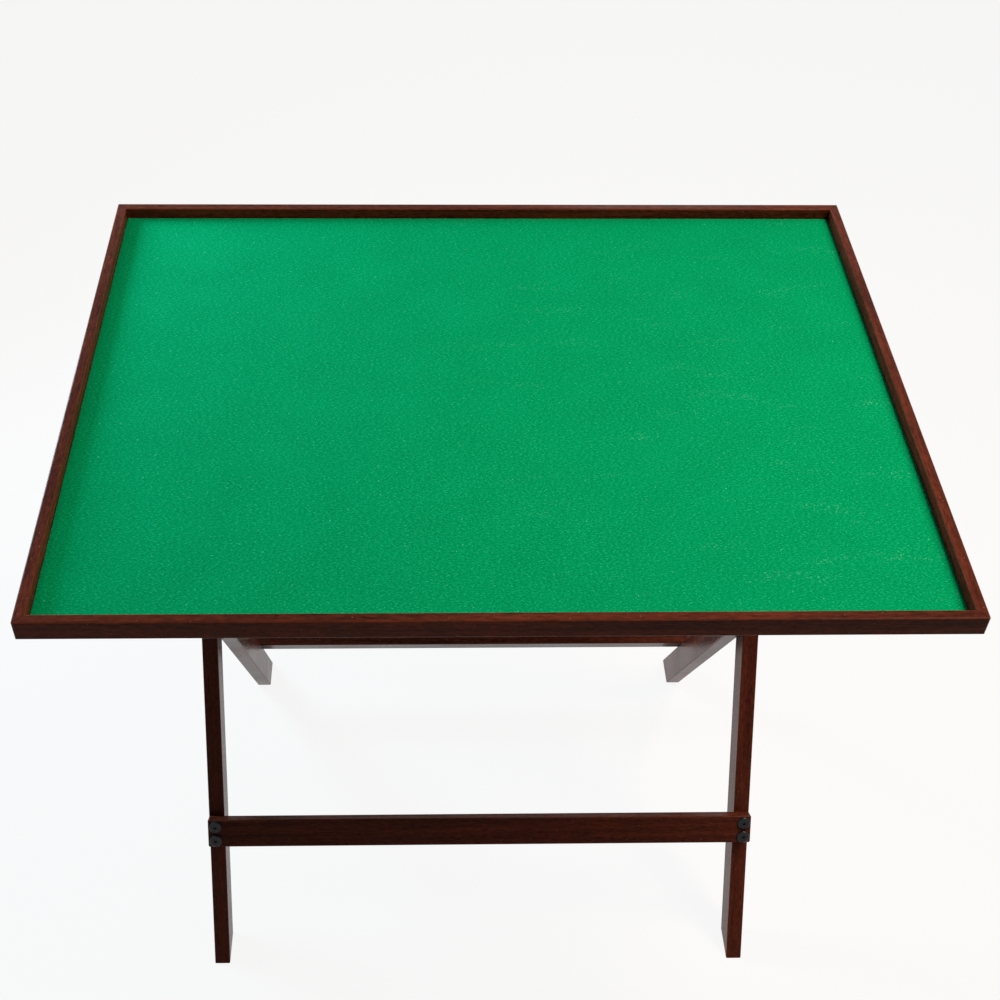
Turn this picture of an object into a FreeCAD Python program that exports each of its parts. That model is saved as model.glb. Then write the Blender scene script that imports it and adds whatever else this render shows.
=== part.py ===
import FreeCAD, Part
import os
import re
import Sketcher

# Folding puzzle table: a felt-covered board in a mitred rim, on two crossed leg frames.
# World frame: floor at Z 0, X along the table's width, -Y towards the person sitting at it,
# origin on the floor under the middle of the top. Lengths are millimetres, angles are degrees.
#
# Each leg frame is drawn upright about the X pivot, where its legs cross the other frame's,
# and then leans by its Placement: the outer frame backwards, the inner frame forwards.

driving_sizes = {
    # top
    "table_wide": 870,
    "table_deep": 674,
    "table_high": 736,
    "rail_wide": 11,
    "rail_high": 22,
    "rail_lip": 13,  # height of the rim above the felt
    "rail_round": 1.6,
    "corner_round": 2.5,  # on the rim's four outer corners
    "rabbet_deep": 5,
    "board_thick": 6,
    "felt_thick": 1.2,
    "edge_gap": 0.2,  # round the board and the felt
    # legs
    "leg_wide": 38,
    "leg_thick": 19,
    "leg_round": 1.6,
    "leg_lean": 31.5,
    "cross_high": 372,
    "cross_back": -14,
    "outer_wide": 674,  # over the outer legs' outer faces
    "front_below": 262,  # X pivot to the middle of the front stretcher, along the leg
    "rear_below": 307,
    "stretcher_high": 36,
    "stretcher_thick": 15,
    "stretcher_round": 2.2,
    # blocks under the board, crossbar
    "pin_drop": 22.3,  # board's underside to the hinge pins and to the crossbar's middle
    "block_thick": 19,
    "block_half": 20,
    "block_chamfer": 1.5,
    "saddle_inset": 8,
    "saddle_front": 25,
    "saddle_rear": 36,
    "hook_deep": 12,  # how far the hook reaches below the crossbar's middle
    "hook_round": 1.5,
    "hook_lean": 28,  # lean of the notch's front wall from the vertical
    "mouth_lean": 36,  # lean of its rear wall
    "notch_gap": 0.3,
    "dowel_dia": 20,
    "dowel_seat": 12,  # how far the crossbar goes into each leg
    # fasteners
    "bolt_dia": 6,
    "bolt_hole": 6.3,
    "bolt_pitch": 18,
    "bolt_grip": 12,  # length of thread inside an insert
    "head_dia": 15,
    "head_thick": 2.6,
    "head_bevel": 0.9,
    "socket_flats": 4,
    "socket_deep": 2.2,
    "insert_dia": 9,
    "insert_bore": 6.1,
    "insert_long": 13,
    "pivot_dia": 8,
    "pivot_bore": 8.1,
    "washer_dia": 20,
    "washer_thick": 1.5,
    "running_gap": 0.3,
    "thread_end": 1,  # thread that stands out of a nut
    "nut_flats": 13,
    "nut_thick": 6.5,
    "nut_corner_high": 1.2,
    "nut_corner_wide": 2,
    "collar_dia": 11,
    "collar_thick": 1.7,
    "screw_dia": 4,
    "screw_hole": 4.1,
    "screw_head": 8,
    "block_screw_long": 24,
    "block_screw_pitch": 28,
    "saddle_screw_front": 17,
    "saddle_screw_rear": 24,
    "dowel_screw_long": 32,
    "seat_gap": 0.05,  # round the crossbar's ends and the screws' heads
    "hole_spare": 1,  # how much deeper a blind hole is than what goes into it
    "cut_past": 1,  # how far a cutting outline runs past the wood
}

# Sizes that follow from the driving ones, as formulas in their names.
derived_sizes = {
    "felt_top": "table_high - rail_lip",
    "board_top": "felt_top - felt_thick",
    "board_under": "board_top - board_thick",
    "rim_under": "table_high - rail_high",
    "rabbet_high": "board_top - rim_under",
    "board_wide": "table_wide - 2 * (rail_wide - rabbet_deep + edge_gap)",
    "board_deep": "table_deep - 2 * (rail_wide - rabbet_deep + edge_gap)",
    "felt_wide": "table_wide - 2 * (rail_wide + edge_gap)",
    "felt_deep": "table_deep - 2 * (rail_wide + edge_gap)",
    "pin_high": "board_under - pin_drop",
    "pin_reach": "(pin_high - cross_high) * tan(leg_lean)",
    "hinge_back": "cross_back + pin_reach",
    "crossbar_back": "cross_back - pin_reach",
    "upper_arm": "(pin_high - cross_high) / cos(leg_lean)",
    "lower_arm": "cross_high / cos(leg_lean)",
    "foot_slope": "leg_wide / 2 * tan(leg_lean)",
    "side_gap": "washer_thick + running_gap",
    "outer_face": "outer_wide / 2",
    "outer_mid": "outer_face - leg_thick / 2",
    "outer_inside": "outer_face - leg_thick",
    "inner_face": "outer_inside - side_gap",
    "inner_mid": "inner_face - leg_thick / 2",
    "inner_inside": "inner_face - leg_thick",
    "hinge_block_mid": "outer_face + side_gap + block_thick / 2",
    "hinge_block_outside": "outer_face + side_gap + block_thick",
    "saddle_mid": "inner_inside - saddle_inset - block_thick / 2",
    "notch_radius": "dowel_dia / 2 + notch_gap",
    "head_seat": "leg_wide / 2 + stretcher_thick",
    "nut_face": "inner_inside - running_gap",
}

same_place = 0.01  # places nearer to each other than this are the same
countersink_angle = 90

document = FreeCAD.newDocument("FoldingPuzzleTable")
sheet = document.addObject("Spreadsheet::Sheet", "Sizes")
for row, (size_name, number) in enumerate(driving_sizes.items(), start=1):
    sheet.set(f"A{row}", size_name)
    sheet.set(f"B{row}", str(number))
    sheet.setAlias(f"B{row}", size_name)
document.recompute()


def formula(text):
    """The text as a FreeCAD expression, with every size name traced back to the sheet."""

    def swap(match):
        word = match.group(0)
        if word in driving_sizes:
            return "Sizes." + word
        if word in derived_sizes:
            return "(" + formula(derived_sizes[word]) + ")"
        return word

    return re.sub(r"[a-z][a-z_]*", swap, str(text))


def value(text):
    return float(sheet.evalExpression(formula(text)))


def bind(item, property_name, text):
    item.setExpression(property_name, formula(text))


def place(item, x="0", y="0", z="0", axis=(1, 0, 0), angle="0"):
    """Sets the item's Placement and binds it to the sheet."""
    item.Placement = FreeCAD.Placement(
        FreeCAD.Vector(value(x), value(y), value(z)),
        FreeCAD.Rotation(FreeCAD.Vector(*axis), value(angle)),
    )
    for letter, text in (("x", x), ("y", y), ("z", z)):
        bind(item, f".Placement.Base.{letter}", text)
    if str(angle) != "0":
        bind(item, ".Placement.Rotation.Angle", angle)


lean_back = (-1, 0, 0)
lean_forward = (1, 0, 0)


def place_in_frame(item, lean_axis, x="0"):
    """Leans an item that was drawn upright about the X pivot."""
    place(item, x, "cross_back", "cross_high", lean_axis, "leg_lean")


# ---- sketches and features


def new_body(name):
    body = document.addObject("PartDesign::Body", name)
    body.Label = name
    return body


def origin_feature(body, role):
    return next(item for item in body.Origin.OriginFeatures if item.Role == role)


def new_sketch(body, name, plane, offset="0"):
    sketch = body.newObject("Sketcher::SketchObject", f"{body.Name}_{name}")
    sketch.AttachmentSupport = (origin_feature(body, plane), [""])
    sketch.MapMode = "FlatFace"
    if str(offset) != "0":
        sketch.AttachmentOffset.Base = FreeCAD.Vector(0, 0, value(offset))
        bind(sketch, ".AttachmentOffset.Base.z", offset)
    return sketch


def constrain(sketch, kind, *where, text):
    index = sketch.addConstraint(Sketcher.Constraint(kind, *where, value(text)))
    bind(sketch, f"Constraints[{index}]", text)


def draw_outline(sketch, corners, arcs=None):
    """Closed outline through the corners. arcs maps an edge's number to its (centre x, centre y),
    and such an edge runs anticlockwise from its corner to the next."""
    arcs = arcs or {}
    points = [FreeCAD.Vector(value(x), value(y), 0) for x, y in corners]
    count = len(points)
    first = sketch.GeometryCount
    starts = {}
    for index in range(count):
        here = points[index]
        there = points[(index + 1) % count]
        if index in arcs:
            middle = FreeCAD.Vector(value(arcs[index][0]), value(arcs[index][1]), 0)
            circle = Part.Circle(middle, FreeCAD.Vector(0, 0, 1), (here - middle).Length)
            arc = Part.ArcOfCircle(circle, circle.parameter(here), circle.parameter(there))
            sketch.addGeometry(arc, False)
        else:
            sketch.addGeometry(Part.LineSegment(here, there), False)
        starts[index] = first + index
    for index in range(count):
        following = starts[(index + 1) % count]
        sketch.addConstraint(Sketcher.Constraint("Coincident", starts[index], 2, following, 1))
    for index, (x, y) in enumerate(corners):
        edge_before = starts[(index - 1) % count]
        straight = index > 0 and (index - 1) not in arcs
        if straight and corners[index - 1][0] == x:
            sketch.addConstraint(Sketcher.Constraint("Vertical", edge_before))
        else:
            constrain(sketch, "DistanceX", -1, 1, starts[index], 1, text=x)
        if straight and corners[index - 1][1] == y:
            sketch.addConstraint(Sketcher.Constraint("Horizontal", edge_before))
        else:
            constrain(sketch, "DistanceY", -1, 1, starts[index], 1, text=y)
    for index, (centre_x, centre_y) in arcs.items():
        chord = points[(index + 1) % count] - points[index]
        if abs(chord.x) > abs(chord.y):
            constrain(sketch, "DistanceY", -1, 1, starts[index], 3, text=centre_y)
        else:
            constrain(sketch, "DistanceX", -1, 1, starts[index], 3, text=centre_x)


def draw_rectangle(sketch, left, right, low, high):
    draw_outline(sketch, [(left, low), (right, low), (right, high), (left, high)])


def draw_circles(sketch, centres, diameter):
    for x, y in centres:
        middle = FreeCAD.Vector(value(x), value(y), 0)
        circle = Part.Circle(middle, FreeCAD.Vector(0, 0, 1), value(diameter) / 2)
        index = sketch.addGeometry(circle, False)
        constrain(sketch, "DistanceX", -1, 1, index, 3, text=x)
        constrain(sketch, "DistanceY", -1, 1, index, 3, text=y)
        constrain(sketch, "Diameter", index, text=diameter)


def draw_hexagon(sketch, flats):
    """Hexagon about the sketch's origin, with the given distance across its flats."""
    corners = []
    for step in range(6):
        turn = 60 * step
        corners.append(
            (f"{flats} / 2 / cos(30) * cos({turn})", f"{flats} / 2 / cos(30) * sin({turn})")
        )
    draw_outline(sketch, corners)


def pad(body, sketch, length, symmetric=False, reverse=False):
    feature = body.newObject("PartDesign::Pad", f"{sketch.Name}_pad")
    feature.Profile = sketch
    bind(feature, "Length", length)
    feature.Reversed = reverse
    if symmetric:
        feature.SideType = "Symmetric"
    document.recompute()
    return feature


def revolve(body, sketch):
    feature = body.newObject("PartDesign::Revolution", f"{sketch.Name}_turned")
    feature.Profile = sketch
    feature.ReferenceAxis = (sketch, ["V_Axis"])
    feature.Angle = 360
    document.recompute()
    return feature


def check_removed(body, volume_before):
    document.recompute()
    smallest_cut = 0.01
    if body.Shape.Volume > volume_before - smallest_cut:
        raise RuntimeError(f"{body.Name}: {body.Tip.Name} removed nothing")


def pocket(body, sketch, depth=None, reverse=False):
    """Cuts the sketch into the body: to a depth against its normal, or right through."""
    volume_before = body.Shape.Volume
    feature = body.newObject("PartDesign::Pocket", f"{sketch.Name}_cut")
    feature.Profile = sketch
    feature.Reversed = reverse
    if depth is None:
        feature.Type = "ThroughAll"
        feature.SideType = "Symmetric"
    else:
        bind(feature, "Length", depth)
    check_removed(body, volume_before)
    return feature


def groove(body, sketch):
    volume_before = body.Shape.Volume
    feature = body.newObject("PartDesign::Groove", f"{sketch.Name}_groove")
    feature.Profile = sketch
    feature.ReferenceAxis = (sketch, ["V_Axis"])
    feature.Angle = 360
    check_removed(body, volume_before)
    return feature


def countersunk_holes(body, sketch, reverse=False):
    """Holes for wood screws whose heads end flush with the sketch's plane."""
    volume_before = body.Shape.Volume
    feature = body.newObject("PartDesign::Hole", f"{sketch.Name}_holes")
    feature.Profile = sketch
    feature.Reversed = reverse
    document.recompute()
    feature.DepthType = "ThroughAll"
    bind(feature, "Diameter", "screw_hole")
    feature.HoleCutType = "Countersink"
    feature.HoleCutCustomValues = True
    bind(feature, "HoleCutDiameter", "screw_head + 2 * seat_gap")
    feature.HoleCutCountersinkAngle = countersink_angle
    check_removed(body, volume_before)
    return feature


def edge_names(feature, wanted):
    return [f"Edge{i}" for i, edge in enumerate(feature.Shape.Edges, start=1) if wanted(edge)]


def ease(body, feature, kind, size, wanted):
    """Rounds or chamfers the feature's edges that pass the test."""
    volume_before = body.Shape.Volume
    dressed = body.newObject(f"PartDesign::{kind}", f"{body.Name}_{kind.lower()}")
    dressed.Base = (feature, edge_names(feature, wanted))
    bind(dressed, "Radius" if kind == "Fillet" else "Size", size)
    check_removed(body, volume_before)
    return dressed


def edge_middle(edge):
    return edge.valueAt((edge.FirstParameter + edge.LastParameter) / 2)


def runs_along_x(edge):
    first = edge.Vertexes[0].Point
    last = edge.Vertexes[-1].Point
    aside = abs(first.y - last.y) + abs(first.z - last.z)
    return abs(first.x - last.x) > same_place and aside < same_place


# ---- tabletop


def make_base_board():
    """Thin panel in the rim's rabbets, drilled for the screws of the four blocks."""
    body = new_body("base_board")
    half_wide = "board_wide / 2"
    half_deep = "board_deep / 2"
    outline = new_sketch(body, "outline", "XY_Plane")
    draw_rectangle(outline, f"-{half_wide}", half_wide, f"-{half_deep}", half_deep)
    pad(body, outline, "board_thick")
    centres = new_sketch(body, "screws", "XY_Plane", "board_thick")
    draw_circles(centres, block_screw_places(), "screw_hole")
    countersunk_holes(body, centres)
    place(body, z="board_under")
    return body


def block_screw_places():
    """World X and Y of the screws that hold the hinge blocks and the saddle blocks."""
    places = []
    for sign in ("-", ""):
        for y in (
            "hinge_back - block_screw_pitch / 2",
            "hinge_back + block_screw_pitch / 2",
        ):
            places.append((f"{sign}hinge_block_mid", y))
        for y in ("crossbar_back - saddle_screw_front", "crossbar_back + saddle_screw_rear"):
            places.append((f"{sign}saddle_mid", y))
    return places


def make_felt_surface():
    box = document.addObject("Part::Box", "felt_surface")
    bind(box, "Length", "felt_wide")
    bind(box, "Width", "felt_deep")
    bind(box, "Height", "felt_thick")
    place(box, "-felt_wide / 2", "-felt_deep / 2", "board_top")
    return box


def make_rail(name, length, x, y, turn):
    """One side of the rim, drawn with its outer face at Y 0, then mitred at both ends. The same
    cut takes off this rail's half of the corner's rounding."""
    body = new_body(name)
    section = new_sketch(body, "section", "YZ_Plane")
    draw_outline(
        section,
        [
            ("0", "0"),
            ("rail_wide - rabbet_deep", "0"),
            ("rail_wide - rabbet_deep", "rabbet_high"),
            ("rail_wide", "rabbet_high"),
            ("rail_wide", "rail_high"),
            ("0", "rail_high"),
        ],
    )
    stick = pad(body, section, length, symmetric=True)
    wide = value("rail_wide")
    high = value("rail_high")
    rounded_corners = ((0, 0), (0, high), (wide, high))

    def is_arris(edge):
        middle = edge_middle(edge)
        off_corner = [abs(middle.y - y) + abs(middle.z - z) for y, z in rounded_corners]
        return runs_along_x(edge) and min(off_corner) < same_place

    ease(body, stick, "Fillet", "rail_round", is_arris)
    for end, sign in (("left", "-"), ("right", "")):
        mitre = new_sketch(body, f"mitre_{end}", "XY_Plane")
        beyond = f"{sign}({length} / 2 + cut_past)"
        inside = f"{sign}({length} / 2 - rail_wide - cut_past)"
        behind = "rail_wide + cut_past"
        round_start = f"{sign}({length} / 2 - corner_round)"
        round_end = f"{sign}({length} / 2 - corner_round * (1 - cos(45)))"
        outline = [
            (round_start, "0"),
            (round_end, "corner_round * (1 - cos(45))"),
            (inside, behind),
            (beyond, behind),
            (beyond, "-cut_past"),
            (round_start, "-cut_past"),
        ]
        middle = (round_start, "corner_round")
        if sign:
            outline.reverse()
            draw_outline(mitre, outline, {len(outline) - 2: middle})
        else:
            draw_outline(mitre, outline, {0: middle})
        pocket(body, mitre)
    place(body, x, y, "rim_under", (0, 0, 1), turn)
    return body


def make_rim():
    return [
        make_rail("rail_front", "table_wide", "0", "-table_deep / 2", "0"),
        make_rail("rail_right", "table_deep", "table_wide / 2", "0", "90"),
        make_rail("rail_back", "table_wide", "0", "table_deep / 2", "180"),
        make_rail("rail_left", "table_deep", "-table_wide / 2", "0", "270"),
    ]


def drill_pilots(body, places):
    pilots = new_sketch(body, "pilots", "XY_Plane", "pin_drop")
    draw_circles(pilots, places, "screw_hole")
    pocket(body, pilots, "block_screw_long - board_thick + hole_spare")


def make_hinge_block(side_name, sign):
    """Round-ended block that swings on the hinge bolt. Its origin is on the bolt's axis."""
    body = new_body(f"hinge_block_{side_name}")
    profile = new_sketch(body, "profile", "YZ_Plane")
    draw_outline(
        profile,
        [
            ("-block_half", "0"),
            ("block_half", "0"),
            ("block_half", "pin_drop"),
            ("-block_half", "pin_drop"),
        ],
        {0: ("0", "0")},
    )
    block = pad(body, profile, "block_thick", symmetric=True)
    top = value("pin_drop")

    def is_lower_rim(edge):
        return not runs_along_x(edge) and edge_middle(edge).z < top - same_place

    ease(body, block, "Chamfer", "block_chamfer", is_lower_rim)
    bore = new_sketch(body, "bore", "YZ_Plane")
    draw_circles(bore, [("0", "0")], "pivot_bore")
    pocket(body, bore)
    drill_pilots(body, [("0", "-block_screw_pitch / 2"), ("0", "block_screw_pitch / 2")])
    place(body, f"{sign}hinge_block_mid", "hinge_back", "pin_high")
    return body


def make_saddle_block(side_name, sign):
    """Hooked block that drops over the crossbar. Its origin is on the crossbar's axis.

    As the top lifts and the frames close, the crossbar leaves the block downwards and backwards,
    about 30 degrees from the vertical. Both walls of the notch follow that way out, so the front
    wall can curl under the crossbar as a hook, which stops the legs from spreading."""
    body = new_body(f"saddle_block_{side_name}")
    profile = new_sketch(body, "profile", "YZ_Plane")
    mouth_y = "notch_radius * cos(mouth_lean)"
    mouth_z = "notch_radius * sin(mouth_lean)"
    hook_y = "-notch_radius * cos(hook_lean)"
    hook_z = "-notch_radius * sin(hook_lean)"
    draw_outline(
        profile,
        [
            ("-saddle_front", "pin_drop"),
            ("saddle_rear", "pin_drop"),
            ("saddle_rear", "hook_deep"),
            ("saddle_rear - hook_deep", "0"),
            (f"{mouth_y} + {mouth_z} * tan(mouth_lean)", "0"),
            (mouth_y, mouth_z),
            (hook_y, hook_z),
            (f"{hook_y} + (hook_deep + {hook_z}) * tan(hook_lean)", "-hook_deep"),
            ("-saddle_front + hook_deep / 2", "-hook_deep"),
            ("-saddle_front", "-hook_deep / 2"),
        ],
        {5: ("0", "0")},
    )
    block = pad(body, profile, "block_thick", symmetric=True)
    hook_end = -value("hook_deep")

    def is_hook_end(edge):
        return runs_along_x(edge) and edge_middle(edge).z < hook_end + same_place

    ease(body, block, "Fillet", "hook_round", is_hook_end)
    drill_pilots(body, [("0", "-saddle_screw_front"), ("0", "saddle_screw_rear")])
    place(body, f"{sign}saddle_mid", "crossbar_back", "pin_high")
    return body


# ---- leg frames


def make_leg(name, foot_front, foot_rear):
    """Straight leg about the X pivot: round top, foot cut to stand flat on the floor."""
    body = new_body(name)
    profile = new_sketch(body, "profile", "YZ_Plane")
    draw_outline(
        profile,
        [
            ("-leg_wide / 2", foot_front),
            ("leg_wide / 2", foot_rear),
            ("leg_wide / 2", "upper_arm"),
            ("-leg_wide / 2", "upper_arm"),
        ],
        {2: ("0", "upper_arm")},
    )
    stick = pad(body, profile, "leg_thick", symmetric=True)
    foot = -value("lower_arm")

    def is_long_arris(edge):
        return not runs_along_x(edge) and edge_middle(edge).z > foot + same_place

    ease(body, stick, "Fillet", "leg_round", is_long_arris)
    pivot = new_sketch(body, "pivot", "YZ_Plane")
    draw_circles(pivot, [("0", "0")], "pivot_bore")
    pocket(body, pivot)
    return body


def bolt_heights(below):
    return [f"-{below} - bolt_pitch / 2", f"-{below} + bolt_pitch / 2"]


def drill_inserts(body, below, face_y, from_front):
    """Blind bores for the two threaded inserts behind the stretcher's end."""
    bores = new_sketch(body, "inserts", "XZ_Plane", f"-({face_y})")
    draw_circles(bores, [("0", z) for z in bolt_heights(below)], "insert_dia")
    pocket(body, bores, "insert_long + hole_spare", reverse=not from_front)


def make_outer_leg(side_name, sign):
    name = f"leg_outer_{side_name}"
    body = make_leg(name, "-lower_arm - foot_slope", "-lower_arm + foot_slope")
    drill_inserts(body, "front_below", "-leg_wide / 2", True)
    hinge = new_sketch(body, "hinge", "YZ_Plane", f"{sign}leg_thick / 2")
    draw_circles(hinge, [("0", "upper_arm")], "insert_dia")
    pocket(body, hinge, "insert_long + hole_spare", reverse=sign == "-")
    place_in_frame(body, lean_back, f"{sign}outer_mid")
    return body


def make_inner_leg(side_name, sign):
    name = f"leg_inner_{side_name}"
    body = make_leg(name, "-lower_arm + foot_slope", "-lower_arm - foot_slope")
    drill_inserts(body, "rear_below", "leg_wide / 2", False)
    socket = new_sketch(body, "socket", "YZ_Plane", f"-({sign}leg_thick / 2)")
    draw_circles(socket, [("0", "upper_arm")], "dowel_dia + 2 * seat_gap")
    pocket(body, socket, "dowel_seat", reverse=sign == "")
    screw = new_sketch(body, "screw", "YZ_Plane", f"{sign}leg_thick / 2")
    draw_circles(screw, [("0", "upper_arm")], "screw_hole")
    countersunk_holes(body, screw, reverse=sign == "-")
    place_in_frame(body, lean_forward, f"{sign}inner_mid")
    return body


def make_stretcher(name, half_length, bolt_x, below, lean_axis, on_front):
    """Rail screwed flat on the legs' faces. It is drawn in its frame's own upright position."""
    body = new_body(name)
    low = f"-{below} - stretcher_high / 2"
    high = f"-{below} + stretcher_high / 2"
    # the XZ plane's normal is -Y, so an offset of this sign puts the sketch on the legs' face
    face = "leg_wide / 2" if on_front else "-leg_wide / 2"
    outline = new_sketch(body, "outline", "XZ_Plane", face)
    draw_rectangle(outline, f"-{half_length}", half_length, low, high)
    stick = pad(body, outline, "stretcher_thick", reverse=not on_front)
    ease(body, stick, "Fillet", "stretcher_round", lambda edge: True)
    holes = new_sketch(body, "holes", "XZ_Plane")
    centres = [(f"{sign}{bolt_x}", z) for sign in ("-", "") for z in bolt_heights(below)]
    draw_circles(holes, centres, "bolt_hole")
    pocket(body, holes)
    place_in_frame(body, lean_axis)
    return body


def make_crossbar():
    body = new_body("crossbar")
    half_length = "inner_inside + dowel_seat"
    circle = new_sketch(body, "circle", "YZ_Plane")
    draw_circles(circle, [("0", "upper_arm")], "dowel_dia")
    pad(body, circle, f"2 * ({half_length})", symmetric=True)
    for end, sign in (("left", "-"), ("right", "")):
        pilot = new_sketch(body, f"pilot_{end}", "YZ_Plane", f"{sign}({half_length})")
        draw_circles(pilot, [("0", "upper_arm")], "screw_hole")
        pocket(body, pilot, "dowel_screw_long", reverse=sign == "-")
    place_in_frame(body, lean_forward)
    return body


# ---- fasteners: one master of each kind, and a compound of links for each group


def make_bolt(name, steps):
    """Bolt with a flat head and a hex socket, head upwards from Z 0. steps lists its shank
    from the head down: (diameter, length)."""
    body = new_body(name)
    profile = new_sketch(body, "profile", "XZ_Plane")
    corners = [
        ("0", "head_thick"),
        ("head_dia / 2 - head_bevel", "head_thick"),
        ("head_dia / 2", "head_thick - head_bevel"),
        ("head_dia / 2", "0"),
    ]
    depth = "0"
    for diameter, length in steps:
        corners.append((f"{diameter} / 2", depth))
        depth = f"{depth} - ({length})"
        corners.append((f"{diameter} / 2", depth))
    corners.append(("0", depth))
    draw_outline(profile, corners)
    revolve(body, profile)
    socket = new_sketch(body, "socket", "XY_Plane", "head_thick")
    draw_hexagon(socket, "socket_flats")
    pocket(body, socket, "socket_deep")
    return body


def make_ring(name, outer, inner, long):
    """Washer or threaded insert, from Z 0 downwards."""
    body = new_body(name)
    section = new_sketch(body, "section", "XZ_Plane")
    draw_rectangle(section, f"{inner} / 2", f"{outer} / 2", f"-({long})", "0")
    revolve(body, section)
    return body


def make_lock_nut():
    """Hexagon nut with a round collar, from Z 0 upwards, its outer corners turned off."""
    body = new_body("master_lock_nut")
    outline = new_sketch(body, "outline", "XY_Plane")
    draw_hexagon(outline, "nut_flats")
    pad(body, outline, "nut_thick")
    corner = new_sketch(body, "corner", "XZ_Plane")
    draw_outline(
        corner,
        [
            ("nut_flats / 2", "nut_thick + cut_past"),
            ("nut_flats / 2", "nut_thick"),
            ("nut_flats / 2 + nut_corner_wide", "nut_thick - nut_corner_high"),
            ("nut_flats / 2 + nut_corner_wide", "nut_thick + cut_past"),
        ],
    )
    groove(body, corner)
    collar = new_sketch(body, "collar", "XY_Plane", "nut_thick")
    draw_circles(collar, [("0", "0")], "collar_dia")
    pad(body, collar, "collar_thick")
    bore = new_sketch(body, "bore", "XY_Plane")
    draw_circles(bore, [("0", "0")], "pivot_bore")
    pocket(body, bore)
    return body


def make_wood_screw(name, long):
    """Countersunk wood screw, head flush with Z 0, point downwards."""
    body = new_body(name)
    profile = new_sketch(body, "profile", "XZ_Plane")
    draw_outline(
        profile,
        [
            ("0", "0"),
            ("0", f"-{long}"),
            ("screw_dia / 2", f"-{long} + screw_dia"),
            ("screw_dia / 2", "-(screw_head - screw_dia) / 2"),
            ("screw_head / 2", "0"),
        ],
    )
    revolve(body, profile)
    return body


to_front = ((1, 0, 0), "90")
to_rear = ((-1, 0, 0), "90")
to_left = ((0, -1, 0), "90")
to_right = ((0, 1, 0), "90")
upwards = ((1, 0, 0), "0")


def make_group(name, master, places):
    """Compound of links to one fastener. places lists (x, y, z, direction of its head)."""
    links = []
    for number, (x, y, z, (axis, angle)) in enumerate(places, start=1):
        link = document.addObject("App::Link", f"{name}_{number}")
        link.LinkedObject = master
        place(link, x, y, z, axis, angle)
        links.append(link)
    group = document.addObject("Part::Compound", name)
    group.Label = name
    group.Links = links
    return group


both_sides = (("-", to_left, to_right), ("", to_right, to_left))  # sign, outwards, inwards


def make_stretcher_hardware(which, bolt, insert, bolt_x, below, head_y, face_y, facing, lean_axis):
    """Bolts through one stretcher and the inserts they screw into."""
    spots = [(f"{sign}{bolt_x}", z) for sign, _, _ in both_sides for z in bolt_heights(below)]
    bolts = make_group(f"stretcher_bolts_{which}", bolt, [(x, head_y, z, facing) for x, z in spots])
    place_in_frame(bolts, lean_axis)
    return bolts, [(x, face_y, z, facing) for x, z in spots]


def make_hardware():
    stretcher_bolt = make_bolt(
        "master_stretcher_bolt", [("bolt_dia", "stretcher_thick + bolt_grip")]
    )
    hinge_bolt = make_bolt(
        "master_hinge_bolt",
        [
            ("pivot_dia", "side_gap + block_thick + running_gap"),
            ("bolt_dia", "bolt_grip"),
        ],
    )
    pivot_long = "outer_face - nut_face + nut_thick + collar_thick + thread_end"
    pivot_bolt = make_bolt("master_pivot_bolt", [("pivot_dia", pivot_long)])
    insert = make_ring("master_insert", "insert_dia", "insert_bore", "insert_long")
    washer = make_ring("master_washer", "washer_dia", "pivot_bore", "washer_thick")
    lock_nut = make_lock_nut()
    block_screw = make_wood_screw("master_block_screw", "block_screw_long")
    dowel_screw = make_wood_screw("master_dowel_screw", "dowel_screw_long")

    front_bolts, front_inserts = make_stretcher_hardware(
        "front", stretcher_bolt, insert, "outer_mid", "front_below",
        "-head_seat", "-leg_wide / 2", to_front, lean_back,
    )
    rear_bolts, rear_inserts = make_stretcher_hardware(
        "rear", stretcher_bolt, insert, "inner_mid", "rear_below",
        "head_seat", "leg_wide / 2", to_rear, lean_forward,
    )
    hinge_inserts = []
    hinge_places = []
    washer_places = []
    pivot_places = []
    nut_places = []
    dowel_screw_places = []
    for sign, outwards, inwards in both_sides:
        hinge_inserts.append((f"{sign}outer_face", "0", "upper_arm", outwards))
        head_x = f"{sign}(hinge_block_outside + running_gap)"
        hinge_places.append((head_x, "0", "upper_arm", outwards))
        washer_places.append((f"{sign}outer_face", "0", "upper_arm", inwards))
        washer_places.append((f"{sign}outer_inside", "0", "0", outwards))
        pivot_places.append((f"{sign}outer_face", "0", "0", outwards))
        nut_places.append((f"{sign}nut_face", "0", "0", inwards))
        dowel_screw_places.append((f"{sign}inner_face", "0", "upper_arm", outwards))

    outer_groups = [
        make_group("inserts_outer", insert, front_inserts + hinge_inserts),
        make_group("hinge_bolts", hinge_bolt, hinge_places),
        make_group("spacer_washers", washer, washer_places),
        make_group("pivot_bolts", pivot_bolt, pivot_places),
        make_group("pivot_nuts", lock_nut, nut_places),
    ]
    for group in outer_groups:
        place_in_frame(group, lean_back)
    inner_groups = [
        make_group("inserts_inner", insert, rear_inserts),
        make_group("crossbar_screws", dowel_screw, dowel_screw_places),
    ]
    for group in inner_groups:
        place_in_frame(group, lean_forward)
    screw_places = [(x, y, "0", upwards) for x, y in block_screw_places()]
    block_screws = make_group("block_screws", block_screw, screw_places)
    place(block_screws, z="board_top")
    return [front_bolts, rear_bolts, block_screws] + outer_groups + inner_groups


# ---- the whole table

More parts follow.
